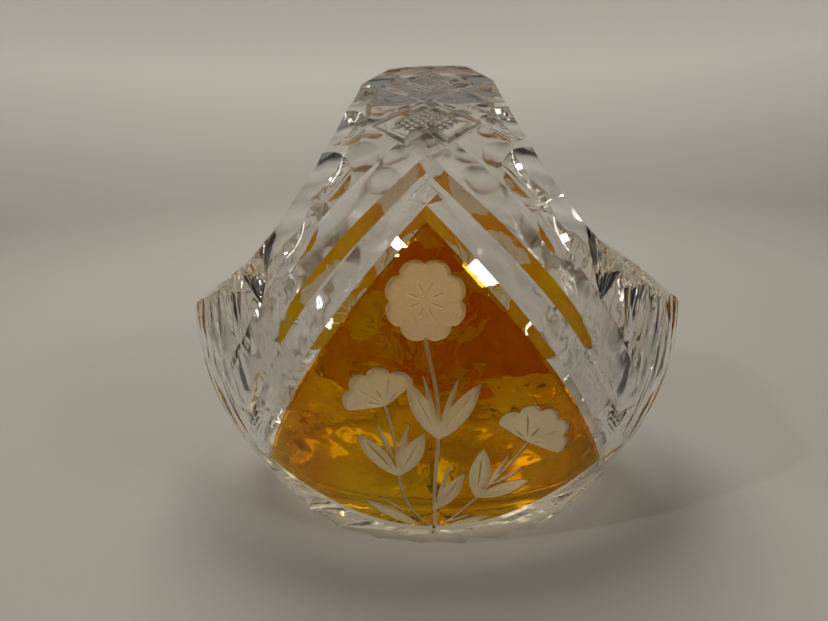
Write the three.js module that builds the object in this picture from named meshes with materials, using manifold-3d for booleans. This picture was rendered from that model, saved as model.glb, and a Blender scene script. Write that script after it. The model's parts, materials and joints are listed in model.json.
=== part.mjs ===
// Cut-crystal basket vase: a blown clear-glass blank whose bowl and strap handle are one piece,
// with an amber-flashed layer left on its front and back inside the mitre-cut arches.
// Millimetres, +Z up, the front faces -Y, and the origin is the middle of the standing face.
import * as THREE from 'three';
import { mergeVertices } from 'three/addons/utils/BufferGeometryUtils.js';
import Module from 'manifold-3d';

// ---- driving dimensions ----
const HEIGHT = 148;           // standing face to the top of the handle
const HALF_WIDTH = 84.5;      // widest point of the bowl, left to right
const HALF_DEPTH = 56;        // widest point of the bowl, front to back
const WIDEST_X_Z = 60;        // height at which the bowl is widest left to right
const WIDEST_Y_Z = 68;        // height at which it is deepest front to back
const WALL = 7;               // wall of the bowl and the handle
const FLOOR = 12;             // thickness of the bottom
const FILLET = 10;            // round between the bottom and the wall, inside
const STRAP_HALF = 17.5;      // half width of the handle strap at its top
const LIP_Z = 56;             // level that the rim curve runs out towards
const RIM_RISE = 91;          // rise of the rim curve from that level to the strap
const TIP_START = 75;         // half width at which the rim begins to round off
const TIP_DROP = 5;           // how far the tip of the lip is rounded down
const RIM_RUN = 41;           // length over which the rim curve falls away
const FLASH = 0.5;            // thickness of the amber flash
const GAP = 0.3;              // clearance under the flash

const PANEL = { apex: 105, corner: 53.5, cornerZ: 27, bottomZ: 9 };
const ARCH = { outerApex: 124.6, innerApex: 111.8, outerDepth: [2.1, 1.6, 1.4], innerDepth: [1.8, 1.5, 1.5] };
const OUTER_FACETS = { wide: 7.4, narrow: [4.6, 5.0, 5.0, 4.8, 4.4, 3.2] };
const INNER_FACETS = { wide: 6.5, narrow: [4.4] };
const STAR_RAYS = 16;
const FLUTES = 24;

const CLEAR = { color: 0xdcdcd6, roughness: 0.03, metalness: 0, transparent: true, opacity: 0.4 };
const AMBER = { color: 0xc06a08, roughness: 0.05, metalness: 0, transparent: true, opacity: 0.8 };

const wasm = await Module();
wasm.setup();
const V = (x, y, z) => new THREE.Vector3(x, y, z);

// ---- solids ----
function solid(geometry) {
  const bare = geometry.clone();
  bare.deleteAttribute('normal');
  bare.deleteAttribute('uv');
  const merged = mergeVertices(bare, 1e-4);
  const position = merged.attributes.position;
  const index = Array.from(merged.index.array);
  const corner = [V(), V(), V()];
  const triangles = [];
  let volume = 0;
  for (let i = 0; i < index.length; i += 3) {
    const [a, b, c] = index.slice(i, i + 3);
    if (a === b || b === c || a === c) continue;
    triangles.push(a, b, c);
    [a, b, c].forEach((k, j) => corner[j].fromBufferAttribute(position, k));
    volume += corner[0].dot(corner[1].clone().cross(corner[2]));
  }
  if (volume < 0) triangles.reverse();
  return new wasm.Manifold(new wasm.Mesh({
    numProp: 3,
    vertProperties: new Float32Array(position.array),
    triVerts: new Uint32Array(triangles),
  }));
}

function unite(solids) {
  let parts = solids;
  while (parts.length > 1) {
    const next = [];
    for (let i = 0; i < parts.length; i += 2) {
      next.push(i + 1 < parts.length ? parts[i].add(parts[i + 1]) : parts[i]);
    }
    parts = next;
  }
  return parts[0];
}

// A closed skin through rings of points that all have the same count.
function loft(rings) {
  const n = rings[0].length;
  const points = rings.flat();
  const index = [];
  for (let r = 0; r + 1 < rings.length; r += 1) {
    for (let i = 0; i < n; i += 1) {
      const a = r * n + i;
      const b = r * n + ((i + 1) % n);
      index.push(a, b, a + n, b, b + n, a + n);
    }
  }
  for (let i = 1; i + 1 < n; i += 1) {
    index.push(0, i + 1, i);
    const last = (rings.length - 1) * n;
    index.push(last, last + i, last + i + 1);
  }
  const geometry = new THREE.BufferGeometry().setFromPoints(points);
  geometry.setIndex(index);
  return solid(geometry);
}

// An outline in the XZ plane, run through the front half of the vase (or through all of it).
function prism(outline, near = 0, far = 90) {
  const shape = new THREE.Shape(outline.map(([x, z]) => new THREE.Vector2(x, z)));
  const geometry = new THREE.ExtrudeGeometry(shape, { depth: far - near, bevelEnabled: false });
  geometry.translate(0, 0, near);
  geometry.rotateX(Math.PI / 2);
  return solid(geometry);
}

// ---- the egg-shaped blank ----
function halfWidth(z, inset = 0) {
  const most = HALF_WIDTH - inset;
  if (z < WIDEST_X_Z) return most * (1 - 0.325 * ((WIDEST_X_Z - z) / WIDEST_X_Z) ** 1.85);
  const t = (z - WIDEST_X_Z) / (HEIGHT - inset - WIDEST_X_Z);
  return most * Math.max(1 - t ** 2.3, 0) ** (1 / 2.3);
}

function halfDepth(z, inset = 0) {
  const most = HALF_DEPTH - inset;
  if (z < WIDEST_Y_Z) return most * (1 - 0.205 * ((WIDEST_Y_Z - z) / WIDEST_Y_Z) ** 1.9);
  const t = (z - WIDEST_Y_Z) / (HEIGHT - inset - WIDEST_Y_Z);
  return most * Math.max(1 - t ** 1.9, 0) ** (1 / 1.9);
}

// The egg shrunk by inset and cut off flat at bottom, with a round of radius fillet there.
function egg(inset, bottom, sides, steps, fillet = 0) {
  const top = HEIGHT - inset;
  const start = bottom + fillet;
  const levels = [];
  for (let k = 0; fillet && k < 3; k += 1) {
    const a = (k / 3) * (Math.PI / 2);
    levels.push([start - fillet * Math.cos(a), fillet * (1 - Math.sin(a))]);
  }
  for (let k = 0; k <= steps; k += 1) {
    levels.push([start + (top - start) * Math.sin((k / (steps + 0.6)) * (Math.PI / 2)), 0]);
  }
  const tucks = new Map(levels.map(([z, tuck]) => [Math.round(z * 1000), tuck]));
  const profile = [new THREE.Vector2(0, bottom)];
  for (const [z] of levels) profile.push(new THREE.Vector2(1, z));
  profile.push(new THREE.Vector2(0, top));
  const geometry = new THREE.LatheGeometry(profile, sides);
  geometry.rotateX(Math.PI / 2);
  const position = geometry.attributes.position;
  for (let i = 0; i < position.count; i += 1) {
    const z = position.getZ(i);
    const tuck = tucks.get(Math.round(z * 1000)) ?? 0;
    position.setX(i, position.getX(i) * (halfWidth(z, inset) - tuck));
    position.setY(i, position.getY(i) * (halfDepth(z, inset) - tuck));
  }
  return solid(geometry);
}

// Height of the rim above a point x from the middle, rounded off towards the tip of the lip.
function rimHeight(x) {
  const tip = Math.max(0, x - TIP_START) / (HALF_WIDTH - TIP_START);
  return LIP_Z + RIM_RISE * Math.exp(-(x - STRAP_HALF) / RIM_RUN) - TIP_DROP * tip ** 2;
}

// ---- points on the outer surface ----
function level(p) {
  const z = Math.min(p.z, HEIGHT - 0.01);
  return (p.x / halfWidth(z)) ** 2 + (p.y / halfDepth(z)) ** 2 - 1;
}

function normalAt(p) {
  const d = 0.05;
  const slope = (axis) => {
    const a = p.clone();
    const b = p.clone();
    a[axis] += d;
    b[axis] -= d;
    return level(a) - level(b);
  };
  return V(slope('x'), slope('y'), slope('z')).normalize();
}

// Point on the front face with the given x and z.
function front(x, z) {
  const q = Math.max(1 - (x / halfWidth(z)) ** 2, 0);
  return V(x, -halfDepth(z) * Math.sqrt(q), z);
}

// Point over the handle: angle 0 is the top, 90 degrees is level with the widest point in front.
function over(x, degrees) {
  const a = THREE.MathUtils.degToRad(degrees);
  const dir = V(0, -Math.sin(a), Math.cos(a));
  let low = 0;
  let high = 140;
  for (let i = 0; i < 40; i += 1) {
    const mid = (low + high) / 2;
    const p = V(x, dir.y * mid, WIDEST_Y_Z + dir.z * mid);
    const inside = p.z < HEIGHT - 0.02 && level(p) < 0;
    if (inside) low = mid;
    else high = mid;
  }
  return V(x, dir.y * low, WIDEST_Y_Z + dir.z * low);
}

// Slide a point that is near the surface on to it, along n.
function settle(p, n) {
  let low = -6;
  let high = 6;
  for (let i = 0; i < 26; i += 1) {
    const mid = (low + high) / 2;
    const q = p.clone().addScaledVector(n, mid);
    if (q.z < HEIGHT - 0.005 && level(q) < 0) low = mid;
    else high = mid;
  }
  return p.clone().addScaledVector(n, low);
}

// ---- cuts ----
// A mitre cut along a path on the surface: left and right are the facet widths at each station.
function mitre(path, left, right, depth, lift = 1.6) {
  const at = (value, i) => (Array.isArray(value) ? value[i] : value);
  const rings = path.map((p, i) => {
    const n = normalAt(p);
    const ahead = path[Math.min(i + 1, path.length - 1)];
    const behind = path[Math.max(i - 1, 0)];
    const along = ahead.clone().sub(behind).normalize();
    const side = n.clone().cross(along).normalize();
    const d = at(depth, i);
    const valley = p.clone().addScaledVector(n, -d);
    const brim = (w) => {
      const edge = settle(p.clone().addScaledVector(side, w), n);
      return edge.sub(valley).multiplyScalar(1 + lift / d).add(valley);
    };
    return [brim(at(left, i)), valley, brim(-at(right, i))];
  });
  return loft(rings);
}

function line(a, b, count, place) {
  const points = [];
  for (let i = 0; i <= count; i += 1) {
    const t = i / count;
    points.push(place(a[0] + (b[0] - a[0]) * t, a[1] + (b[1] - a[1]) * t));
  }
  return points;
}

// x at height z of a side of the Gothic arch that comes down from its apex to its foot.
function sideCurve(z, apex, corner, foot, bulge) {
  const u = (apex - z) / (apex - foot);
  return corner * u + bulge * u * (1 - u);
}

function bottomCurve(x) {
  return PANEL.bottomZ + (PANEL.cornerZ - PANEL.bottomZ) * (x / PANEL.corner) ** 2;
}

// The Gothic arch: an outer and an inner pair of mitre cuts that cross at the top.
const OUTER = (z) => sideCurve(z, ARCH.outerApex, 59, 44, 42);
const INNER = (z) => sideCurve(z, ARCH.innerApex, 56.5, 29, 28);

function archPath(curve, from, to, count, sign) {
  const path = [];
  for (let i = 0; i <= count; i += 1) {
    const z = from + (to - from) * (i / count);
    path.push(front(sign * curve(z), z));
  }
  return path;
}

// Values of a taper that runs evenly through the given ones, at count + 1 stations.
function taper(values, count) {
  const stations = [];
  for (let i = 0; i <= count; i += 1) {
    const t = (i / count) * (values.length - 1);
    const k = Math.min(Math.floor(t), values.length - 2);
    stations.push(values.length < 2 ? values[0] : values[k] + (values[k + 1] - values[k]) * (t - k));
  }
  return stations;
}

// Two pairs of mitre cuts, each with a broad outer facet and a narrow steep inner one.
function archCuts() {
  const cuts = [];
  for (const sign of [1, -1]) {
    const add = (path, facets, depths) => {
      const wide = facets.wide;
      const narrow = taper(facets.narrow, path.length - 1);
      const depth = taper(depths, path.length - 1);
      cuts.push(sign > 0 ? mitre(path, wide, narrow, depth) : mitre(path, narrow, wide, depth));
    };
    add(archPath(OUTER, 127.5, 44, 8, sign), OUTER_FACETS, ARCH.outerDepth);
    add(archPath(INNER, 114.8, 25, 8, sign), INNER_FACETS, ARCH.innerDepth);
  }
  return cuts;
}

function bottomCut() {
  const path = [];
  for (let x = -56; x <= 56; x += 14) path.push(front(x, bottomCurve(x) - 0.5));
  return mitre(path, 1.0, 1.0, 1.0);
}

// Point on the surface: angle 0 is the middle of the front, 90 degrees the right-hand end.
function atAngle(degrees, z) {
  const a = THREE.MathUtils.degToRad(degrees);
  return V(halfWidth(z) * Math.sin(a), -halfDepth(z) * Math.cos(a), z);
}

// A straight mitre cut from a to b, whose half width runs through the given values.
function groove(a, b, place, widths, depth, count = 2) {
  const width = taper(widths, count);
  const peak = Math.max(...widths);
  return mitre(line(a, b, count, place), width, width, width.map((w) => Math.max((depth * w) / peak, 0.3)));
}

// Slanting flutes round the foot, from the standing face up to the arch and the lips.
function fluteCuts() {
  const cuts = [];
  for (let k = 0; k < FLUTES; k += 1) {
    const a = ((k + 0.5) / FLUTES) * 360;
    const rise = 5.5 + 19 * Math.sin(THREE.MathUtils.degToRad(a + 15)) ** 2;
    cuts.push(groove([a - 10.5, -1.5], [a + 15, rise], atAngle, [3.4, 3.1, 0.5], 2.2));
  }
  return cuts;
}

// Fans, diamond, chevrons and long flutes between the arch and one lip, in front.
function sideCuts(sign) {
  const cuts = [];
  const place = (x, z) => front(sign * x, z);
  const around = (degrees, z) => atAngle(sign * degrees, z);
  for (const x of [45.5, 50.5, 55]) {
    cuts.push(groove([48, 84], [x, rimHeight(x) + 1.5], place, [0.4, 1.0, 1.6], 1.7));
  }
  for (const x of [57.5, 62, 66]) {
    cuts.push(groove([57, 69.5], [x, rimHeight(x) + 1.5], place, [0.4, 1.3, 1.8], 1.8));
  }
  for (const [a, top] of [[56.5, 84], [62.5, 81], [70, 78.6], [79, 76.9], [87.3, 76]]) {
    cuts.push(groove([46 + (a - 50) * 1.08, 62], [a, top + 1], around, [0.4, 1.9, 2.5], 2.4));
  }
  for (const [a, low, high] of [[54, 34, 63], [63, 29, 62], [72, 25, 61], [81, 22, 61]]) {
    cuts.push(groove([a - 3, low], [a, high], around, [0.4, 2.0, 0.4], 1.9));
  }
  const corners = [[57, 69.5], [63, 59], [56.8, 49], [52.6, 60]];
  for (let k = 0; k < 4; k += 1) {
    cuts.push(groove(corners[k], corners[(k + 1) % 4], place, [1, 1], 0.9, 1));
  }
  for (let k = 0; k < 4; k += 1) {
    const z = 49 - 5 * k;
    const x = 54.6 + 0.2 * k;
    for (const [reach, fall] of [[3.0, 5.2], [-2.8, 6.4]]) {
      cuts.push(groove([x, z], [x + reach, z - fall], place, [1, 0.7], 0.8, 1));
    }
  }
  return cuts;
}

// Crossing leaf-shaped cuts that make the chain of diamonds over the handle.
function diamondCuts() {
  const cuts = [];
  const crossings = [-35.4, -20.5, -7.5, 7.5, 20.5, 35.4];
  const corners = [-26.5, -14.5, 0, 14.5, 26.5];
  for (let k = 0; k < corners.length; k += 1) {
    const half = 12 + 1.5 * Math.abs(k - 2);
    for (const way of [1, -1]) {
      for (const end of [crossings[k], crossings[k + 1]]) {
        cuts.push(groove([0, end], [way * half, corners[k]], over, [1.4, 1.3, 0.4], 0.7));
      }
    }
  }
  for (const end of crossings.slice(1, -1)) {
    for (const way of [1, -1]) {
      cuts.push(groove([way * 1.5, end], [way * 15, end], over, [0.5, 4.0, 0.6], 1.2));
    }
  }
  return cuts;
}

// Thumbprints, shallow hollows ground into both edges of the handle: height, distance in from
// the edge, radius and depth of each.
const PRINTS = [[139.5, 1.5, 5.5, 1.8], [131, 2.5, 6.8, 2.1], [118.5, 5, 8.2, 2.3], [103.5, 6, 10, 2.6]];

const CAP = 1.05;             // angle of the spherical cap that grinds a thumbprint

function printCuts() {
  const cuts = [];
  for (const sign of [1, -1]) {
    for (const [z, inside, radius, deep] of PRINTS) {
      const edge = STRAP_HALF - RIM_RUN * Math.log((z - LIP_Z) / RIM_RISE);
      const p = front(sign * (edge - inside), z);
      const n = normalAt(p);
      const ball = (radius * radius + deep * deep) / (2 * deep);
      const profile = [new THREE.Vector2(0, ball * Math.cos(CAP))];
      for (let k = 4; k >= 0; k -= 1) {
        const a = (k / 4) * CAP;
        profile.push(new THREE.Vector2(ball * Math.sin(a), ball * Math.cos(a)));
      }
      const cap = new THREE.LatheGeometry(profile, 14);
      cap.applyQuaternion(new THREE.Quaternion().setFromUnitVectors(V(0, 1, 0), n.clone().negate()));
      cap.translate(p.x + n.x * (ball - deep), p.y + n.y * (ball - deep), p.z + n.z * (ball - deep));
      cuts.push(solid(cap));
    }
  }
  return cuts;
}

// Star of mitre cuts in the underside, with flat lands between the rays.
function starCuts() {
  const cuts = [];
  for (let k = 0; k < STAR_RAYS; k += 1) {
    const a = (k / STAR_RAYS) * 2 * Math.PI;
    const reach = k % 2 ? 0.62 : 0.8;
    const tip = V(reach * halfWidth(0) * Math.sin(a), reach * halfDepth(0) * Math.cos(a), 0);
    const side = V(Math.cos(a), -Math.sin(a), 0);
    const ring = (p, w, d) => [
      p.clone().addScaledVector(side, w * (1 + 1 / d)).setZ(-1),
      p.clone().setZ(d),
      p.clone().addScaledVector(side, -w * (1 + 1 / d)).setZ(-1),
    ];
    cuts.push(loft([ring(V(0, 0, 0), 1.6, 1.4), ring(tip.clone().multiplyScalar(0.6), 1.6, 1.4),
      ring(tip, 0.4, 0.3)]));
  }
  return cuts;
}

// ---- engraved flowers, cut through the amber ----
function lens(ax, az, bx, bz, width) {
  const dx = bx - ax;
  const dz = bz - az;
  const length = Math.hypot(dx, dz);
  const outline = [];
  for (const side of [1, -1]) {
    for (let i = 0; i < 3; i += 1) {
      const t = side > 0 ? i / 3 : 1 - i / 3;
      const w = side * width * 2 * t * (1 - t);
      outline.push([ax + dx * t - (dz / length) * w, az + dz * t + (dx / length) * w]);
    }
  }
  return prism(outline);
}

function flower(x, z, radius, lobes, from, sweep) {
  const outline = [];
  const steps = lobes * 3;
  const whole = sweep >= 360;
  if (!whole) outline.push([x, z]);
  for (let i = 0; i <= steps - (whole ? 1 : 0); i += 1) {
    const t = i / steps;
    const angle = THREE.MathUtils.degToRad(from + sweep * t);
    const r = radius * (0.88 + 0.12 * Math.abs(Math.sin(Math.PI * lobes * t)));
    outline.push([x + r * Math.cos(angle), z + r * Math.sin(angle)]);
  }
  return prism(outline);
}


function bouquet() {
  return unite([
    flower(-0.5, 87, 11.3, 8, 0, 360),
    flower(-12.5, 56, 12.6, 4, 42, 150),
    flower(28.5, 42, 13, 5, -32, 172),
    lens(2.5, 45, -6, 64.5, 6),
    lens(2.5, 45, 14.5, 63.5, 6),
    lens(-9.8, 31, -21.5, 46, 6),
    lens(-9.8, 31, -1.5, 47.5, 6),
    lens(-3.5, 11.5, -22, 20, 4.4),
    lens(1.2, 17, 10, 32.5, 5.2),
    lens(13.5, 22, 15.5, 41.5, 6.4),
    lens(13.5, 22, 30.5, 27, 5.6),
    lens(4, 11.5, 19, 13.6, 3.2),
  ]);
}

// ---- outlines of the amber ----
function panelOutline() {
  const outline = [];
  for (let i = 0; i <= 9; i += 1) {
    const z = PANEL.apex + 4 - (i / 9) * (PANEL.apex + 4 - 28.5);
    outline.push([INNER(z), z]);
  }
  for (let i = 0; i <= 8; i += 1) {
    const x = 54 - i * 13.5;
    outline.push([x, bottomCurve(x) - 0.1]);
  }
  for (let i = 9; i >= 0; i -= 1) {
    const z = PANEL.apex + 4 - (i / 9) * (PANEL.apex + 4 - 28.5);
    outline.push([-INNER(z), z]);
  }
  return outline;
}

// ---- assembly ----
function turned(part) {
  return part.rotate([0, 0, 180]);
}

const cutsInFront = unite([
  ...archCuts(), bottomCut(), ...sideCuts(1), ...sideCuts(-1), ...printCuts(),
]);
const cuts = unite([
  cutsInFront, turned(cutsInFront), ...fluteCuts(), ...diamondCuts(), ...starCuts(),
]);

// The strap's two top edges are bevelled, then the rim curve runs down to the lip.
const rimOutline = [[STRAP_HALF - 8.5, HEIGHT + 6], [STRAP_HALF - 8.5, HEIGHT + 1]];
for (let i = 0; i <= 16; i += 1) {
  const x = STRAP_HALF + 2 + (HALF_WIDTH + 2 - STRAP_HALF) * (i / 16);
  rimOutline.push([x, rimHeight(x)]);
}
rimOutline.push([HALF_WIDTH + 4, HEIGHT + 6]);
const overRim = prism(rimOutline, -90, 90);
const hollow = egg(WALL, FLOOR, 34, 9, FILLET);
const waste = unite([cuts, overRim, turned(overRim), hollow]);
const carved = egg(0, 0, 46, 15).subtract(waste);

const flash = egg(0, 0, 46, 15).subtract(egg(FLASH, 0, 46, 15));
const seat = egg(-2, 0, 46, 15).subtract(egg(FLASH + GAP, 0, 46, 15));
const panel = prism(panelOutline());
const seats = panel.add(turned(panel)).intersect(seat);
const body = carved.subtract(seats);
const panelSolid = carved.intersect(panel.subtract(bouquet())).intersect(flash);

// ---- scene graph ----
const vase = new THREE.Group();
vase.name = 'cut_crystal_basket';

function addPiece(name, shape, look) {
  const data = shape.getMesh();
  const geometry = new THREE.BufferGeometry();
  const vertices = Float32Array.from(data.vertProperties);
  geometry.setAttribute('position', new THREE.BufferAttribute(vertices, 3));
  geometry.setIndex(Array.from(data.triVerts));
  geometry.computeVertexNormals();
  const mesh = new THREE.Mesh(geometry, new THREE.MeshStandardMaterial(look));
  mesh.name = name;
  vase.add(mesh);
}

addPiece('crystal_body', body, CLEAR);
addPiece('amber_panel_front', panelSolid, AMBER);
addPiece('amber_panel_back', turned(panelSolid), AMBER);

export default vase;
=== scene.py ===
import json
import math

import bmesh
import bpy
import numpy as np
from mathutils import Matrix, Vector

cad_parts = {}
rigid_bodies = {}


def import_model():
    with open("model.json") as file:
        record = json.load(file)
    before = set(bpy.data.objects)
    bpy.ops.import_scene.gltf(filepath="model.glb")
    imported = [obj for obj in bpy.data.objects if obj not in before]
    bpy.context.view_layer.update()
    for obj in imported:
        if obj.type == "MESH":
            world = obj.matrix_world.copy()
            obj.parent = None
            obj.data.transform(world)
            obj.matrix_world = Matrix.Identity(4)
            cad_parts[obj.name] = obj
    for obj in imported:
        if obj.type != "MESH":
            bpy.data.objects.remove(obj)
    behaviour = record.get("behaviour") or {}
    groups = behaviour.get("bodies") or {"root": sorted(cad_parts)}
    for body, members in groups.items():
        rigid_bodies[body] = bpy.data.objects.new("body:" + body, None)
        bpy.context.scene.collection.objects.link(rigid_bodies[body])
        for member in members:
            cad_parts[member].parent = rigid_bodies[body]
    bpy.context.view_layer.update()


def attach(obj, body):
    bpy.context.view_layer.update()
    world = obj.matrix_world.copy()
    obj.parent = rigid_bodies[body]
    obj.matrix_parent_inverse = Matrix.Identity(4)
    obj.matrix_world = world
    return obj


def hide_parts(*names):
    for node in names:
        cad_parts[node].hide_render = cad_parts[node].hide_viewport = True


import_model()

# ---------------------------------------------------------------- dimensions, in millimetres
HEIGHT, HALF_WIDTH, HALF_DEPTH = 148.0, 84.25, 55.9
WIDEST_X_Z, WIDEST_Y_Z = 60.0, 68.0     # levels at which the blank is widest and deepest
WALL, FLOOR, FILLET = 7.0, 12.0, 10.0   # of the hollow inside
STRAP_HALF = 17.5                       # half width of the handle strap at its top
LIP_Z, RIM_RISE, RIM_RUN = 56.0, 91.0, 41.0   # the rim falls off towards LIP_Z
TIP_START, TIP_DROP = 75.0, 5.0         # where the rim begins to round off, and by how much
FLASH = 0.5                             # thickness of the amber layer
SEAT = 0.3                              # depth of its seat, so that it is fused 0.2 into the glass
ENGRAVE = 0.75                          # depth of the frosted engraving
APEX_OUT, APEX_IN = 124.6, 111.8        # tops of the two nested arches
MM = 0.001


# ---------------------------------------------------------------- the blank's surface
def half_width(z, inset=0.0):
    """Half the blank's width at a level, or of the same shape shrunk by inset."""
    most = HALF_WIDTH - inset
    if z < WIDEST_X_Z:
        return most * (1 - 0.325 * ((WIDEST_X_Z - z) / WIDEST_X_Z) ** 1.85)
    t = (z - WIDEST_X_Z) / (HEIGHT - inset - WIDEST_X_Z)
    return most * max(1 - t ** 2.3, 0.0) ** (1 / 2.3)


def half_depth(z, inset=0.0):
    """The same from front to back."""
    most = HALF_DEPTH - inset
    if z < WIDEST_Y_Z:
        return most * (1 - 0.205 * ((WIDEST_Y_Z - z) / WIDEST_Y_Z) ** 1.9)
    t = (z - WIDEST_Y_Z) / (HEIGHT - inset - WIDEST_Y_Z)
    return most * max(1 - t ** 1.9, 0.0) ** (1 / 1.9)


def level(p):
    """Below zero inside the blank, above it outside."""
    z = min(p.z, HEIGHT - 0.01)
    return (p.x / half_width(z)) ** 2 + (p.y / half_depth(z)) ** 2 - 1


def normal_at(p):
    """Which way the blank's surface faces at p."""
    d = 0.05
    slope = []
    for axis in range(3):
        a, b = p.copy(), p.copy()
        a[axis] += d
        b[axis] -= d
        slope.append(level(a) - level(b))
    return Vector(slope).normalized()


def front(x, z):
    """Point on the front of the blank."""
    q = max(1 - (x / half_width(z)) ** 2, 0.0)
    return Vector((x, -half_depth(z) * math.sqrt(q), z))


def over(x, degrees):
    """Point over the handle: 0 degrees is its top, 90 the widest part in front."""
    a = math.radians(degrees)
    dy, dz = -math.sin(a), math.cos(a)
    low, high = 0.0, 140.0
    for _ in range(40):
        mid = (low + high) / 2
        p = Vector((x, dy * mid, WIDEST_Y_Z + dz * mid))
        if p.z < HEIGHT - 0.02 and level(p) < 0:
            low = mid
        else:
            high = mid
    return Vector((x, dy * low, WIDEST_Y_Z + dz * low))


def settle(p, n):
    """The surface point nearest to p along n."""
    low, high = -6.0, 6.0
    for _ in range(26):
        mid = (low + high) / 2
        q = p + n * mid
        if q.z < HEIGHT - 0.005 and level(q) < 0:
            low = mid
        else:
            high = mid
    return p + n * low


def rim_height(x):
    """The rim above a point x from the middle, rounded off towards the tip of the lip."""
    tip = max(0.0, x - TIP_START) / (HALF_WIDTH - TIP_START)
    return LIP_Z + RIM_RISE * math.exp(-(x - STRAP_HALF) / RIM_RUN) - TIP_DROP * tip ** 2


def rim_edge(z):
    """How far from the middle the rim passes a level."""
    return STRAP_HALF - RIM_RUN * math.log((z - LIP_Z) / RIM_RISE)


# ---------------------------------------------------------------- mesh helpers
work = bpy.data.scenes.new("workbench")


def mesh_object(name, points, faces, material=None):
    """An object on the workbench, from points in millimetres."""
    mesh = bpy.data.meshes.new(name)
    mesh.from_pydata([(p[0] * MM, p[1] * MM, p[2] * MM) for p in points], [], faces)
    bm = bmesh.new()
    bm.from_mesh(mesh)
    bmesh.ops.remove_doubles(bm, verts=bm.verts, dist=1e-7)
    bmesh.ops.recalc_face_normals(bm, faces=bm.faces)
    bm.to_mesh(mesh)
    bm.free()
    mesh.materials.append(material or CLEAR)
    obj = bpy.data.objects.new(name, mesh)
    work.collection.objects.link(obj)
    return obj


def paint(obj, materials, index=0):
    """Give every face the material at that index: a cut face keeps its cutter's index."""
    obj.data.materials.clear()
    for material in materials:
        obj.data.materials.append(material)
    obj.data.polygons.foreach_set("material_index", [index] * len(obj.data.polygons))


def copy_of(obj):
    twin = obj.copy()
    twin.data = obj.data.copy()
    work.collection.objects.link(twin)
    return twin


def turned(obj):
    """A copy turned half round +Z: the back is the same as the front."""
    copy = copy_of(obj)
    copy.data.transform(Matrix.Rotation(math.pi, 4, "Z"))
    return copy


def combine(base, operation, others):
    """base UNION, DIFFERENCE or INTERSECT the others, kept in base's mesh."""
    group = bpy.data.collections.new("group")
    work.collection.children.link(group)
    for other in others:
        work.collection.objects.unlink(other)
        group.objects.link(other)
    cut = base.modifiers.new("cut", "BOOLEAN")
    cut.operation = operation
    cut.solver = "MANIFOLD"
    cut.operand_type = "COLLECTION"
    cut.collection = group
    layer = work.view_layers[0]
    layer.update()
    done = bpy.data.meshes.new_from_object(base.evaluated_get(layer.depsgraph))
    base.modifiers.clear()
    base.data = done
    for other in others:
        bpy.data.objects.remove(other)
    bpy.data.collections.remove(group)
    return base


ARC_STEPS = 12                          # of every quarter round
SHORT_OF_TOP = 0.6                      # how far the last ring stays from the top, in steps


def egg(name, inset, bottom, sides, steps, material=None, fillet=0.0):
    """The blank, shrunk by inset and cut off flat at bottom, with a round of radius fillet there."""
    top = HEIGHT - inset
    start = bottom + fillet
    levels = []
    if fillet:
        for k in range(ARC_STEPS):
            a = k / ARC_STEPS * math.pi / 2
            levels.append((bottom + fillet * (1 - math.cos(a)), fillet * (1 - math.sin(a))))
    for k in range(steps + 1):
        a = k / (steps + SHORT_OF_TOP) * math.pi / 2
        levels.append((start + (top - start) * math.sin(a), 0.0))
    points = [(0, 0, bottom)]
    for z, tuck in levels:
        for i in range(sides):
            a = 2 * math.pi * (i + 0.5) / sides
            points.append(((half_width(z, inset) - tuck) * math.sin(a),
                           -(half_depth(z, inset) - tuck) * math.cos(a), z))
    points.append((0, 0, top))
    faces = []
    last = len(points) - 1
    for i in range(sides):
        j = (i + 1) % sides
        faces.append((0, 1 + j, 1 + i))
        for k in range(len(levels) - 1):
            a, b = 1 + k * sides, 1 + (k + 1) * sides
            faces.append((a + i, a + j, b + j, b + i))
        end = 1 + (len(levels) - 1) * sides
        faces.append((end + i, end + j, last))
    return mesh_object(name, points, faces, material)


def loft(name, rings, material=None):
    """A closed skin over rings of points, flat at both ends."""
    n = len(rings[0])
    points = [p for ring in rings for p in ring]
    faces = []
    for r in range(len(rings) - 1):
        for i in range(n):
            a, b = r * n + i, r * n + (i + 1) % n
            faces.append((a, b, b + n, a + n))
    faces.append(tuple(range(n - 1, -1, -1)))
    last = (len(rings) - 1) * n
    faces.append(tuple(range(last, last + n)))
    return mesh_object(name, points, faces, material)


def prism(name, outline, near=0.0, far=90.0, material=None):
    """An outline of (x, z) points pushed towards the front."""
    rings = [[(x, -y, z) for x, z in outline] for y in (near, far)]
    return loft(name, rings, material)


def mitre(path, left, right, depth, lift=1.5, material=None, name="mitre"):
    """A V cut along a path on the surface. Widths and depth are numbers or one per station."""
    at = lambda w, i: w[i] if isinstance(w, (list, tuple)) else w
    rings = []
    for i, p in enumerate(path):
        n = normal_at(p)
        along = (path[min(i + 1, len(path) - 1)] - path[max(i - 1, 0)]).normalized()
        side = n.cross(along).normalized()
        d = at(depth, i)
        valley = p - n * d
        ring = []
        for w in (at(left, i), None, -at(right, i)):
            if w is None:
                ring.append(valley)
            else:
                edge = settle(p + side * w, n)
                ring.append(valley + (edge - valley) * (1 + lift / max(d, 0.4)))
        rings.append(ring)
    return loft(name, rings, material)


def line(a, b, count, place):
    """Points of place from a to b, in count equal steps."""
    return [place(a[0] + (b[0] - a[0]) * i / count, a[1] + (b[1] - a[1]) * i / count)
            for i in range(count + 1)]


def leaf(values, count):
    """Stations of a taper that runs through the given values."""
    xs = np.linspace(0, 1, len(values))
    return [float(v) for v in np.interp(np.linspace(0, 1, count + 1), xs, values)]


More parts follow.
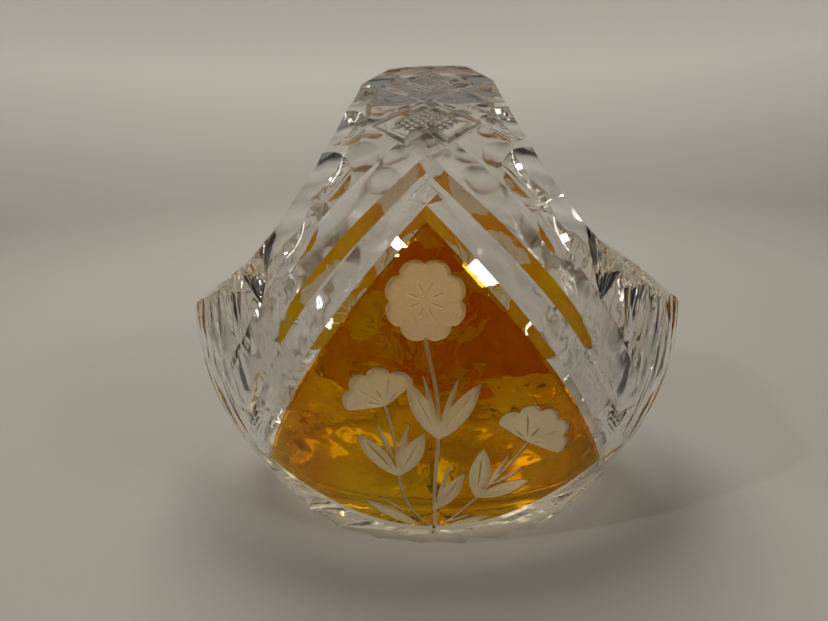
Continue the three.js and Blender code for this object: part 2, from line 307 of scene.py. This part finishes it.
# ---------------------------------------------------------------- materials
def node_material(name):
    """A new material with its node tree and main shader."""
    material = bpy.data.materials.new(name)
    material.use_nodes = True
    tree = material.node_tree
    shader = tree.nodes["Principled BSDF"]
    return material, tree, shader


def shaded_point(tree):
    """The point that is shaded, in metres."""
    return tree.nodes.new("ShaderNodeTexCoord").outputs["Object"]


def axes_of(tree, vector):
    """The X, Y and Z of a vector."""
    parts = tree.nodes.new("ShaderNodeSeparateXYZ")
    tree.links.new(vector, parts.inputs["Vector"])
    return parts.outputs


def noise(tree, scale, detail=3.0, rough=0.5, stretch=(1, 1, 1)):
    """Noise over the point that is shaded, about scale times to the metre."""
    mapping = tree.nodes.new("ShaderNodeMapping")
    mapping.inputs["Scale"].default_value = stretch
    texture = tree.nodes.new("ShaderNodeTexNoise")
    texture.inputs["Scale"].default_value = scale
    texture.inputs["Detail"].default_value = detail
    texture.inputs["Roughness"].default_value = rough
    tree.links.new(shaded_point(tree), mapping.inputs["Vector"])
    tree.links.new(mapping.outputs["Vector"], texture.inputs["Vector"])
    return texture.outputs["Fac"]


def ramp(tree, source, stops, blend="LINEAR"):
    """Colours looked up by source, each stop a place from 0 to 1 and a colour."""
    node = tree.nodes.new("ShaderNodeValToRGB")
    while len(node.color_ramp.elements) < len(stops):
        node.color_ramp.elements.new(0.5)
    for element, (place, colour) in zip(node.color_ramp.elements, stops):
        element.position = place
        element.color = (*colour, 1)
    node.color_ramp.interpolation = blend
    tree.links.new(source, node.inputs["Fac"])
    return node.outputs["Color"]


def span(tree, source, low, high, to_low, to_high):
    """source from low to high becomes to_low to to_high, and stays there beyond."""
    node = tree.nodes.new("ShaderNodeMapRange")
    for key, value in (("From Min", low), ("From Max", high), ("To Min", to_low), ("To Max", to_high)):
        node.inputs[key].default_value = value
    tree.links.new(source, node.inputs["Value"])
    return node.outputs["Result"]


def maths(tree, operation, *values):
    """A maths node, each of whose values is another node's output or a number."""
    node = tree.nodes.new("ShaderNodeMath")
    node.operation = operation
    for socket, value in zip(node.inputs, values):
        if isinstance(value, (int, float)):
            socket.default_value = value
        else:
            tree.links.new(value, socket)
    return node.outputs["Value"]


def reach_along(tree, source, direction):
    """Length of source along a direction."""
    node = tree.nodes.new("ShaderNodeVectorMath")
    node.operation = "DOT_PRODUCT"
    node.inputs[1].default_value = direction
    tree.links.new(source, node.inputs[0])
    return node.outputs["Value"]


def times(tree, colour, factor):
    """A colour, lighter or darker."""
    node = tree.nodes.new("ShaderNodeVectorMath")
    node.operation = "SCALE"
    tree.links.new(colour, node.inputs[0])
    tree.links.new(factor, node.inputs["Scale"])
    return node.outputs["Vector"]


def bump(tree, source, shader, strength, distance):
    """Relief on a shader's surface, distance metres deep."""
    node = tree.nodes.new("ShaderNodeBump")
    node.inputs["Strength"].default_value = strength
    node.inputs["Distance"].default_value = distance
    tree.links.new(source, node.inputs["Height"])
    tree.links.new(node.outputs["Normal"], shader.inputs["Normal"])


LEAD_GLASS_IOR = 1.545
WAVE_DEPTH, GRAIN_DEPTH = 0.0006, 0.0002      # metres


def clear_crystal(name="polished_crystal", smooth=0.0, worn=0.05, waves=0.6, ends=1.0):
    """Colourless lead glass; ends scales its roughness and waves out at the two lips."""
    material, tree, shader = node_material(name)
    shader.inputs["Transmission Weight"].default_value = 1.0
    shader.inputs["IOR"].default_value = LEAD_GLASS_IOR
    haze = noise(tree, 40, 4, 0.6)
    tint = ramp(tree, haze, [(0.3, (0.93, 0.92, 0.89)), (0.7, (0.97, 0.965, 0.94))])
    tree.links.new(tint, shader.inputs["Base Color"])
    axes = axes_of(tree, shaded_point(tree))
    share = span(tree, maths(tree, "ABSOLUTE", axes["X"]), 0.045, 0.06, 1.0, ends)
    rough = span(tree, noise(tree, 260, 5, 0.65), 0.45, 0.75, smooth, worn)
    tree.links.new(maths(tree, "MULTIPLY", rough, share), shader.inputs["Roughness"])
    calmer = span(tree, axes["Z"], 0.088, 0.108, 1.0, 0.4)
    height = maths(tree, "MULTIPLY", noise(tree, 70, 2, 0.4), calmer)
    bump(tree, maths(tree, "MULTIPLY", height, share), shader, waves, WAVE_DEPTH)
    return material


def amber_flash():
    """The coloured layer, deeper and redder towards the top and the right."""
    material, tree, shader = node_material("amber_cased_glass")
    shader.inputs["Transmission Weight"].default_value = 1.0
    shader.inputs["IOR"].default_value = LEAD_GLASS_IOR
    shader.inputs["Roughness"].default_value = 0.015
    shader.inputs["Specular Tint"].default_value = (1.0, 0.6, 0.03, 1.0)
    up_right = reach_along(tree, shaded_point(tree), (0.6, 0.0, 1.0))
    # the tint grows deeper and redder towards the top right, with noise over it
    deeper_up_right = span(tree, up_right, -0.01, 0.105, -0.15, 0.13)
    tint_depth = maths(tree, "ADD", noise(tree, 38, 5, 0.6, (1, 1, 0.7)), deeper_up_right)
    tint = ramp(tree, tint_depth, [
        (0.32, (0.84, 0.50, 0.003)), (0.5, (0.78, 0.35, 0.002)), (0.66, (0.72, 0.25, 0.001)),
    ])
    tree.links.new(tint, shader.inputs["Base Color"])
    bump(tree, noise(tree, 70, 3, 0.5), shader, 0.8, WAVE_DEPTH)
    return material


def frosted_glass():
    """The matt floor of the engraving; its yellower tone in the upper flower is painted amber light
    shining through the flash.
    """
    material, tree, shader = node_material("frosted_engraving")
    shader.inputs["Transmission Weight"].default_value = 0.55
    shader.inputs["IOR"].default_value = LEAD_GLASS_IOR
    axes = axes_of(tree, shaded_point(tree))
    grain = noise(tree, 900, 4, 0.7)
    low = ramp(tree, grain, [(0.3, (0.93, 0.71, 0.40)), (0.7, (0.99, 0.82, 0.49))])
    # the upper colour is yellower: painted amber light that comes through the flash, blended in by
    # height
    high = ramp(tree, grain, [(0.3, (0.90, 0.62, 0.29)), (0.7, (0.99, 0.74, 0.36))])
    tone_with_painted_amber_light = tree.nodes.new("ShaderNodeMix")
    tone_with_painted_amber_light.data_type = "RGBA"
    tree.links.new(span(tree, axes["Z"], 0.04, 0.095, 0.0, 1.0), tone_with_painted_amber_light.inputs[0])
    tree.links.new(low, tone_with_painted_amber_light.inputs[6])
    tree.links.new(high, tone_with_painted_amber_light.inputs[7])
    tree.links.new(tone_with_painted_amber_light.outputs[2], shader.inputs["Base Color"])
    streak = noise(tree, 500, 3, 0.6, (1, 1, 0.2))
    tree.links.new(span(tree, streak, 0.3, 0.7, 0.42, 0.62), shader.inputs["Roughness"])
    bump(tree, grain, shader, 0.5, GRAIN_DEPTH)
    return material


CLEAR = clear_crystal()
FACET = clear_crystal("broad_cut_facet", 0.1, 0.17, 1.0)
INNER = clear_crystal("blown_inner_wall", 0.05, 0.15, 3.2, 0.2)
AMBER = amber_flash()
FROST = frosted_glass()


# ---------------------------------------------------------------- the cut pattern
def side_curve(z, apex, corner, foot, bulge):
    """Half width of an arch at a level: nothing at its apex, corner at its foot."""
    u = (apex - z) / (apex - foot)
    return corner * u + bulge * u * (1 - u)


def outer_arch(z):
    """Half width of the outer arch at a level."""
    return side_curve(z, APEX_OUT, 59, 44, 42)


def inner_arch(z):
    """Half width of the inner arch at a level, which bounds the amber."""
    return side_curve(z, APEX_IN, 56.5, 29, 28)


def bottom_curve(x):
    """Level of the amber's lower edge."""
    return 9 + 18 * (x / 53.5) ** 2


ARCH_STEPS = 32


def arch_cuts():
    """Two pairs of mitre cuts, each with a broad outer facet and a narrow steep inner one."""
    cuts = []
    for sign in (1, -1):
        for curve, top, low, wide, narrow, depth in (
            (outer_arch, 127.5, 44, [7.4], [4.6, 5.0, 5.0, 4.8, 4.4, 3.2], [2.1, 1.6, 1.4]),
            (inner_arch, 114.8, 25, [6.5], [4.4], [1.8, 1.5, 1.5]),
        ):
            path = []
            for i in range(ARCH_STEPS + 1):
                z = top + (low - top) * i / ARCH_STEPS
                path.append(front(sign * curve(z), z))
            wide, narrow, depth = [leaf(values, ARCH_STEPS) for values in (wide, narrow, depth)]
            left, right = (wide, narrow) if sign > 0 else (narrow, wide)
            cuts.append(mitre(path, left, right, depth, name="arch"))
            paint(cuts[-1], [CLEAR, FROST, FACET])
            broad = 0 if sign > 0 else 1
            for polygon in cuts[-1].data.polygons:
                if polygon.index % 3 == broad and polygon.index < 3 * ARCH_STEPS:
                    polygon.material_index = 2
    path = [front(x, bottom_curve(x) - 0.5) for x in np.linspace(-56, 56, 41)]
    cuts.append(mitre(path, 1.0, 1.0, 1.0, name="sill"))
    return cuts


def at_angle(angle, z):
    """Point on the surface: angle 0 is the middle of the front, 90 degrees the right-hand end."""
    return Vector((half_width(z) * math.sin(angle), -half_depth(z) * math.cos(angle), z))


def groove(a, b, place, widths, depth, count=8, name="groove"):
    """A straight mitre cut from a to b, whose half width runs through the given values."""
    width = leaf(widths, count)
    peak = max(widths)
    return mitre(line(a, b, count, place), width, width, [max(depth * w / peak, 0.15) for w in width],
                 name=name)


def flute_cuts(count=24):
    """Slanting flutes round the foot, longest at the two ends."""
    cuts = []
    for k in range(count):
        a = (k + 0.5) / count * 2 * math.pi
        foot, tip = a - 0.183, a + 0.262
        rise = 5.5 + 19 * math.sin(tip) ** 2
        cuts.append(groove((foot, -1.5), (tip, rise), at_angle, [3.4, 3.4, 3.1, 2.2, 0.5], 2.2, 10))
    return cuts


def side_cuts(sign):
    """Fans, hatched diamond, chevrons and long flutes between the arch and one lip, in front."""
    cuts = []
    place = lambda x, z: front(sign * x, z)
    around = lambda degrees, z: at_angle(sign * math.radians(degrees), z)
    rim = lambda x, above: (x, rim_height(x) + above)
    for x in (44.5, 48.0, 51.5, 55.0):
        cuts.append(groove((48, 84), rim(x, 1.5), place, [0.3, 0.8, 1.2, 1.4], 1.7))
    for x in (56.5, 59.6, 62.7, 65.8):
        cuts.append(groove((57, 69.5), rim(x, 1.5), place, [0.3, 0.9, 1.3, 1.5], 1.8))
    for k in range(7):
        cuts.append(groove((48, 84.6), rim(43.4 + 1.95 * k, 1.0), place, [0.2, 0.5, 0.7, 0.7], 1.0, 6))
    for k in range(8):
        end = rim(55.2 + 1.65 * k, 1.0)
        cuts.append(groove((57, 70.5), end, place, [0.2, 0.55, 0.75, 0.8], 1.15, 6))
    for a, top in ((54.5, 85.5), (58.5, 83.0), (63, 81.0), (68, 79.3), (74, 77.8), (80.5, 76.7),
                   (87, 76.0)):
        low = (46 + (a - 50) * 1.08, 62)
        cuts.append(groove(low, (a, top + 1.0), around, [0.3, 1.5, 2.2, 2.5], 2.4))
    for a, low, high in ((49, 40, 66), (54, 34, 63), (60, 30, 62), (66.5, 26, 61), (73, 24, 61),
                         (79.5, 22, 61), (86.5, 21, 61)):
        cuts.append(groove((a - 3, low), (a, high), around, [0.3, 1.5, 2.0, 1.4, 0.3], 1.9, 10))
    diamond = [(57, 69.5), (63, 59), (56.8, 49), (52.6, 60)]
    for k in range(4):
        cuts.append(groove(diamond[k], diamond[(k + 1) % 4], place, [1.0, 1.0, 1.0], 1.1, 5))
    for k in range(6):
        x = 54.1 + 1.35 * k
        top = 66.5 - 1.7 * abs(k - 2) - 0.6 * k
        low = 53.0 + 1.3 * abs(k - 1.5)
        cuts.append(groove((x - 0.5, low), (x + 0.4, top), place, [0.55, 0.55], 0.65, 4))
    for k in range(8):
        z = 49.5 - 2.5 * k
        x = 54.6 + 0.1 * k
        for reach, fall in ((3.0, 5.2), (-2.8, 6.4)):
            cuts.append(groove((x, z), (x + reach, z - fall), place, [0.8, 0.8, 0.5], 1.0, 4))
    return cuts


# ends and side corners of the five diamonds, in degrees over the top of the handle
CROSSINGS = (-35.4, -20.5, -7.5, 7.5, 20.5, 35.4)
CORNERS = (-26.5, -14.5, 0.0, 14.5, 26.5)


def diamond_half(k):
    """Half width of a diamond: the middle one, on top, is the narrowest."""
    return 12 + 1.5 * abs(k - 2)


def diamond_cuts():
    """Diamonds over the handle, with a leaf cut out to each side of where two of them meet."""
    cuts = []
    for k, corner in enumerate(CORNERS):
        half = diamond_half(k)
        for way in (1, -1):
            for end in (CROSSINGS[k], CROSSINGS[k + 1]):
                cuts.append(groove((0, end), (way * half, corner), over, [1.4, 1.3, 1.0, 0.4], 0.6))
    for end in CROSSINGS[1:-1]:
        for way in (1, -1):
            cuts.append(groove((way * 1.5, end), (way * 15, end), over, [0.5, 3.6, 4.2, 2.6, 0.6], 1.2))
    return cuts


def hatch_cuts():
    """Fine crossed cuts that fill the middle of each diamond."""
    cuts = []
    share, count = 0.62, 7
    for k, corner in enumerate(CORNERS):
        half = diamond_half(k) * share
        low = corner + (CROSSINGS[k] - corner) * share
        high = corner + (CROSSINGS[k + 1] - corner) * share
        for way in (1, -1):
            for j in range(count):
                t = (j + 0.5) / count
                a = (-way * half * (1 - t), corner + (low - corner) * t)
                b = (way * half * t, corner + (high - corner) * (1 - t))
                cuts.append(mitre(line(a, b, 3, over), 0.42, 0.42, 0.13, name="hatch"))
    return cuts


def print_cuts():
    """Thumbprints, shallow hollows ground into both edges of the handle."""
    cuts = []
    for sign in (1, -1):
        for z, inside, radius, deep in (
            (139.5, 1.5, 5.5, 1.8), (131, 2.5, 6.8, 2.1),
            (118.5, 5.0, 8.2, 2.3), (103.5, 6.0, 10.0, 2.6),
        ):
            p = front(sign * (rim_edge(z) - inside), z)
            n = normal_at(p)
            ball = (radius * radius + deep * deep) / (2 * deep)
            bm = bmesh.new()
            bmesh.ops.create_icosphere(bm, subdivisions=5, radius=ball)
            bm.transform(Matrix.Translation(p + n * (ball - deep)))
            bm.transform(Matrix.Scale(MM, 4))
            mesh = bpy.data.meshes.new("print")
            mesh.materials.append(CLEAR)
            bm.to_mesh(mesh)
            bm.free()
            obj = bpy.data.objects.new("print", mesh)
            work.collection.objects.link(obj)
            cuts.append(obj)
    return cuts


def star_cuts(rays=16):
    """A star of mitre cuts under the foot, every other ray longer."""
    cuts = []
    for k in range(rays):
        a = k / rays * 2 * math.pi
        reach = 0.62 if k % 2 else 0.8
        tip = Vector((reach * half_width(0) * math.sin(a), reach * half_depth(0) * math.cos(a), 0))
        side = Vector((math.cos(a), -math.sin(a), 0))
        rings = []
        for t, w, d in ((0, 1.6, 1.4), (0.6, 1.6, 1.4), (1, 0.4, 0.3)):
            p = tip * t
            ring = []
            for s in (1, 0, -1):
                q = p + side * (s * w * (1 + 1 / d))
                q.z = d if s == 0 else -1
                ring.append(q)
            rings.append(ring)
        cuts.append(loft("ray", rings))
    return cuts


# ---------------------------------------------------------------- engraved bouquet
def lens(ax, az, bx, bz, width, steps=12):
    """A pointed leaf from a to b."""
    dx, dz = bx - ax, bz - az
    length = math.hypot(dx, dz)
    outline = []
    for way in (1, -1):
        for i in range(steps):
            t = i / steps if way > 0 else 1 - i / steps
            w = way * width * 2 * t * (1 - t)
            outline.append((ax + dx * t - dz / length * w, az + dz * t + dx / length * w))
    return prism("leaf", outline, material=FROST)


def blossom(x, z, radius, lobes, start, sweep):
    """A flower of rounded lobes, whole or as a fan seen from the side."""
    outline = []
    steps = lobes * 10
    whole = sweep >= 360
    if not whole:
        outline.append((x, z))
    for i in range(steps + (0 if whole else 1)):
        t = i / steps
        angle = math.radians(start + sweep * t)
        r = radius * (0.86 + 0.14 * abs(math.sin(math.pi * lobes * t)) ** 0.6)
        outline.append((x + r * math.cos(angle), z + r * math.sin(angle)))
    return prism("blossom", outline, material=FROST)


def stalk(points, width):
    """A smooth stem of even width through the points."""
    xs = np.array(points, float)
    t = np.linspace(0, len(xs) - 1, len(xs) * 6)
    x = np.interp(t, range(len(xs)), xs[:, 0])
    z = np.interp(t, range(len(xs)), xs[:, 1])
    kernel = np.ones(5) / 5
    for _ in range(2):
        x[2:-2] = np.convolve(x, kernel, "valid")
        z[2:-2] = np.convolve(z, kernel, "valid")
    dx, dz = np.gradient(x), np.gradient(z)
    length = np.hypot(dx, dz)
    ox, oz = -dz / length * width / 2, dx / length * width / 2
    outline = [(a, b) for a, b in zip(x + ox, z + oz)]
    outline += [(a, b) for a, b in zip((x - ox)[::-1], (z - oz)[::-1])]
    return prism("stalk", outline, material=FROST)


# the leaves, each from x, z at its stalk to x, z at its tip, and its width
LEAVES = (
    (2.5, 45, -6, 64.5, 6), (2.5, 45, 14.5, 63.5, 6),
    (2.5, 48, -1.5, 66.5, 1.6), (2.7, 48, 8.5, 66, 1.8),
    (-9.8, 31, -21.5, 46, 6), (-9.8, 31, -1.5, 47.5, 6),
    (-10.5, 36, -15.5, 51, 1.7), (-9.8, 36, -6, 51, 1.7),
    (-3.5, 9.5, -22, 20, 4.4), (-7.5, 15, -16.5, 22.5, 1.4),
    (1.2, 17, 10, 32.5, 5.2), (1.4, 21, 5.8, 36, 1.4),
    (13.5, 22, 15.5, 41.5, 6.4), (13.5, 22, 30.5, 27, 5.6),
    (16, 25, 23.5, 39, 1.6), (17.5, 26.5, 28.5, 33, 1.5),
    (4, 9.5, 19, 13.2, 3.2), (3.2, 11, 13, 14.8, 1.3),
)
TOP_FLOWER, LEFT_FLOWER, RIGHT_FLOWER = (-0.5, 87), (-12.5, 56), (28.5, 42)


def bouquet():
    shapes = [
        blossom(*TOP_FLOWER, 11.3, 8, 0, 360),
        blossom(*LEFT_FLOWER, 12.6, 4, 42, 150),
        blossom(*RIGHT_FLOWER, 13, 5, -32, 172),
        stalk([(-0.8, 77), (1.0, 68), (2.6, 58), (2.6, 45), (0.6, 26), (0.9, 9)], 1.1),
        stalk([LEFT_FLOWER, (-10, 44), (-9.8, 28), (-7, 17), (0, 9)], 1.0),
        stalk([RIGHT_FLOWER, (19, 28.5), (12.5, 20.5), (6, 13), (1.4, 9)], 1.0),
    ] + [lens(*values) for values in LEAVES]
    return combine(shapes[0], "UNION", shapes[1:])


def rib(ax, az, bx, bz, width=0.42):
    """A fine cut below the engraved floor, as the vein of a petal or the middle of a leaf."""
    below = 0.45
    deep = ENGRAVE + below
    surface = [w * deep / below for w in (0.5 * width, width, width, 0.4 * width)]
    return groove((ax, az), (bx, bz), front, surface, deep, 6, "rib")


def rib_cuts():
    """The lines inside the flowers and the wider leaves."""
    cuts = []
    x, z = TOP_FLOWER
    for k in range(8):
        a = math.radians(22.5 + 45 * k)
        c, d = math.cos(a), math.sin(a)
        cuts.append(rib(x + c, z + d, x + 6.2 * c, z + 6.2 * d, 0.36))
    for (x, z), radius, angles in (
        (LEFT_FLOWER, 10.5, (52, 82, 116, 150, 176)), (RIGHT_FLOWER, 10.8, (-20, 12, 52, 92, 130)),
    ):
        for k, degrees in enumerate(angles):
            a = math.radians(degrees)
            reach = radius if k in (1, 3) else radius * 0.62
            cuts.append(rib(x + 0.8 * math.cos(a), z + 0.8 * math.sin(a),
                            x + reach * math.cos(a), z + reach * math.sin(a)))
    for ax, az, bx, bz, width in LEAVES:
        if width > 4:
            dx, dz = bx - ax, bz - az
            cuts.append(rib(ax + 0.12 * dx, az + 0.12 * dz, ax + 0.86 * dx, az + 0.86 * dz))
    return cuts


def panel_outline():
    """Outline of the amber field, under the inner arch."""
    top, low, steps = 109, 28.5, 40
    heights = [top - i * (top - low) / steps for i in range(steps + 1)]
    outline = [(inner_arch(z), z) for z in heights]
    outline += [(x, bottom_curve(x) - 0.5) for x in np.linspace(54, -54, steps + 1)]
    outline += [(-inner_arch(z), z) for z in reversed(heights)]
    return outline


# ---------------------------------------------------------------- build
SIDES, STEPS = 240, 130                 # of the blank's mesh, round it and up it


def rim_cutter():
    """What is ground away above one lip; the strap's top edge is bevelled with it."""
    bevel, over_top, steps = 8.5, HEIGHT + 6, 48
    outline = [(STRAP_HALF - bevel, over_top), (STRAP_HALF - bevel, HEIGHT + 1)]
    for i in range(steps + 1):
        x = STRAP_HALF + 2 + (HALF_WIDTH + 2 - STRAP_HALF) * (i / steps)
        outline.append((x, rim_height(x)))
    outline.append((HALF_WIDTH + 4, over_top))
    return prism("rim", outline, -90, 90)


front_cuts = arch_cuts() + side_cuts(1) + side_cuts(-1) + print_cuts()
waste = combine(front_cuts[0], "UNION", front_cuts[1:])
waste = combine(waste, "UNION", [turned(waste)])
waste = combine(waste, "UNION", flute_cuts() + diamond_cuts() + hatch_cuts() + star_cuts()
                + [rim_cutter(), turned(rim_cutter())])


def shell(outer, inner):
    """The layer of the blank between two depths under its surface."""
    return combine(egg("shell", outer, 0, SIDES, STEPS), "DIFFERENCE",
                   [egg("core", inner, 0, SIDES, STEPS)])


panel = prism("panel", panel_outline())
flowers = bouquet()

engraving = combine(copy_of(flowers), "INTERSECT", [shell(-1.0, ENGRAVE)])
engraving = combine(engraving, "UNION", rib_cuts())
paint(engraving, [CLEAR, FROST], 1)

seat = combine(copy_of(panel), "INTERSECT", [shell(-1.0, SEAT)])

body = egg("vase_crystal", 0, 0, SIDES, STEPS, CLEAR)
paint(body, [CLEAR, FROST, FACET, INNER])
hollow = egg("hollow", WALL, FLOOR, 180, 90, CLEAR, FILLET)
paint(hollow, [CLEAR, FROST, FACET, INNER], 3)
body = combine(body, "DIFFERENCE", [copy_of(waste), hollow])
body = combine(body, "DIFFERENCE", [seat, turned(seat)])
body = combine(body, "DIFFERENCE", [engraving, turned(engraving)])

amber_front = combine(shell(0.0, FLASH), "INTERSECT", [panel])
amber_front = combine(amber_front, "DIFFERENCE", [waste, flowers])
amber_front.name = amber_front.data.name = "vase_amber_front"
paint(amber_front, [AMBER])
amber_back = turned(amber_front)
amber_back.name = amber_back.data.name = "vase_amber_back"

pieces = [(body, "crystal_body", "clear_crystal"), (amber_front, "amber_panel_front", "amber_flash"),
          (amber_back, "amber_panel_back", "amber_flash")]

CREASE = math.radians(9)                # faces that meet at less are shaded as one surface

for obj, node, slot in pieces:
    work.collection.objects.unlink(obj)
    bpy.context.scene.collection.objects.link(obj)
    mesh = obj.data
    mesh.polygons.foreach_set("use_smooth", [True] * len(mesh.polygons))
    mesh.set_sharp_from_angle(angle=CREASE)
    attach(obj, "root")
    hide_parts(node)

for obj in list(work.objects):
    bpy.data.objects.remove(obj)
bpy.data.scenes.remove(work)

# ---------------------------------------------------------------- floor, light and camera
FOCAL = 600 / 828                       # focal length over the width of the picture
TILT = Matrix.Rotation(math.radians(3.5), 4, "Z") @ Matrix.Rotation(math.radians(71), 4, "X")
ROLL = Matrix.Rotation(math.radians(-1.7), 4, "Z")
MAIN_VIEW = Matrix.Translation((0.0057, -0.2055, 0.1368)) @ TILT @ ROLL
SHADED = 0.06                           # share of its paleness that the stage keeps where it is dark


def wedge(tree, place):
    """Metres inside the two slanting planes at the left and right of the main view."""
    sides = []
    for way in (1, -1):
        normal = (MAIN_VIEW.to_3x3() @ Vector((way * FOCAL, 0, -0.5))).normalized()
        reach = reach_along(tree, place, normal)
        sides.append(maths(tree, "ADD", reach, -normal.dot(MAIN_VIEW.translation)))
    return maths(tree, "MINIMUM", *sides)


def floor_material():
    """Pale where the main view looks. Dark in front of that, at both sides and high up, where only
    the glass sees it, so that steep cuts have something dark to refract. The warm glow under the
    vase and its bright pools stand in for light focused by the glass."""
    material, tree, shader = node_material("studio_floor")
    shader.inputs["Roughness"].default_value = 0.7
    shader.inputs["Specular IOR Level"].default_value = 0.2
    place = shaded_point(tree)
    axes = axes_of(tree, place)

    behind = span(tree, axes["Y"], -0.2, -0.085, SHADED, 1.0)
    below = span(tree, axes["Z"], 0.45, 0.6, 1.0, 0.1)
    within = span(tree, wedge(tree, place), -0.06, -0.01, SHADED, 1.0)
    share = maths(tree, "MULTIPLY", maths(tree, "MULTIPLY", behind, below), within)
    farther = span(tree, reach_along(tree, place, (0.0, 0.12, 1.0)), 0.0, 0.34, 0.0, 1.0)
    mottled = maths(tree, "MULTIPLY_ADD", noise(tree, 3.0, 3, 0.5), 0.08, farther)
    pale = ramp(tree, mottled, [
        (0.0, (0.185, 0.172, 0.153)), (0.5, (0.36, 0.342, 0.312)), (1.0, (0.58, 0.553, 0.512)),
    ])
    tree.links.new(times(tree, pale, share), shader.inputs["Base Color"])

    # the glow is an oval, as the foot is
    flat = tree.nodes.new("ShaderNodeMapping")
    flat.inputs["Scale"].default_value = (1.0, 1.45, 1.0)
    tree.links.new(place, flat.inputs["Vector"])
    length = tree.nodes.new("ShaderNodeVectorMath")
    length.operation = "LENGTH"
    tree.links.new(flat.outputs["Vector"], length.inputs[0])
    away = length.outputs["Value"]
    warm = ramp(tree, span(tree, away, 0.0, 0.115, 0.0, 1.0), [
        (0.1, (0.19, 0.167, 0.12)), (0.34, (0.32, 0.272, 0.19)),
        (0.6, (0.12, 0.103, 0.075)), (0.85, (0.0, 0.0, 0.0)),
    ], "EASE")
    pools = span(tree, noise(tree, 46, 3, 0.55), 0.55, 0.67, 0.0, 1.0)
    under = span(tree, away, 0.046, 0.06, 3.0, 0.0)
    gain = maths(tree, "MULTIPLY_ADD", pools, under, 0.9)
    tree.links.new(times(tree, warm, gain), shader.inputs["Emission Color"])
    shader.inputs["Emission Strength"].default_value = 1.0
    return material


def cove(reach=0.75, bend=0.45, rise=0.9, sides=96):
    """A round floor that curves up into a plain wall."""
    profile = [(reach * t, 0.0) for t in (0.0, 0.12, 0.3, 0.6, 1.0)]
    for k in range(1, ARC_STEPS + 1):
        a = k / ARC_STEPS * math.pi / 2
        profile.append((reach + bend * math.sin(a), bend * (1 - math.cos(a))))
    profile.append((reach + bend, rise))
    points, faces = [(0, 0, 0)], []
    for r, z in profile[1:]:
        for i in range(sides):
            a = 2 * math.pi * i / sides
            points.append((r * math.cos(a), r * math.sin(a), z))
    for i in range(sides):
        j = (i + 1) % sides
        faces.append((0, 1 + i, 1 + j))
        for k in range(len(profile) - 2):
            a, b = 1 + k * sides, 1 + (k + 1) * sides
            faces.append((a + i, b + i, b + j, a + j))
    mesh = bpy.data.meshes.new("studio_floor")
    mesh.from_pydata(points, [], faces)
    mesh.polygons.foreach_set("use_smooth", [True] * len(faces))
    obj = bpy.data.objects.new("studio_floor", mesh)
    bpy.context.scene.collection.objects.link(obj)
    return obj


floor = cove()
floor.data.materials.append(floor_material())

world = bpy.data.worlds.new("studio")
bpy.context.scene.world = world
world.use_nodes = True
sky = world.node_tree
backdrop = sky.nodes["Background"]
backdrop.inputs["Color"].default_value = (0.97, 0.93, 0.86, 1)
# dim all round, and brighter overhead and behind, where the handle's cuts look
facing = sky.nodes.new("ShaderNodeTexCoord")
upward = reach_along(sky, facing.outputs["Generated"], (0.0, 0.45, 0.89))
sky.links.new(span(sky, upward, 0.5, 0.85, 0.05, 0.2), backdrop.inputs["Strength"])


def soft_box(name, place, size, power, colour=(1, 0.97, 0.92), seen=True):
    """A soft light of so many watts, turned to the vase; seen says whether the glass shows it."""
    light = bpy.data.lights.new(name, "AREA")
    light.shape = "RECTANGLE"
    light.size, light.size_y = size
    light.energy = power
    light.color = colour
    obj = bpy.data.objects.new(name, light)
    obj.location = place
    obj.rotation_euler = (Vector((0, 0, 0.07)) - Vector(place)).to_track_quat("-Z", "Y").to_euler()
    obj.visible_glossy = obj.visible_transmission = seen
    bpy.context.scene.collection.objects.link(obj)


soft_box("key", (-0.54, -0.34, 0.70), (0.022, 0.05), 2.0)
soft_box("side", (0.65, -0.455, 0.574), (0.17, 0.16), 2.3)
soft_box("left_strip", (-0.50, -0.22, 0.36), (0.02, 0.45), 0.5)
soft_box("right_strip", (0.50, -0.26, 0.36), (0.02, 0.45), 0.5)
soft_box("above", (-0.1, 0.3, 1.0), (0.7, 0.7), 16, seen=False)

SENSOR = 36
camera = bpy.data.cameras.new("camera")
camera.sensor_width = SENSOR
camera.lens = FOCAL * SENSOR
view = bpy.data.objects.new("camera", camera)
view.matrix_world = MAIN_VIEW
camera.clip_start = 0.01
bpy.context.scene.collection.objects.link(view)
bpy.context.scene.camera = view
cycles = bpy.context.scene.cycles
cycles.max_bounces = 24
cycles.transmission_bounces = 24
cycles.glossy_bounces = 16
bpy.context.scene.view_settings.view_transform = "Standard"
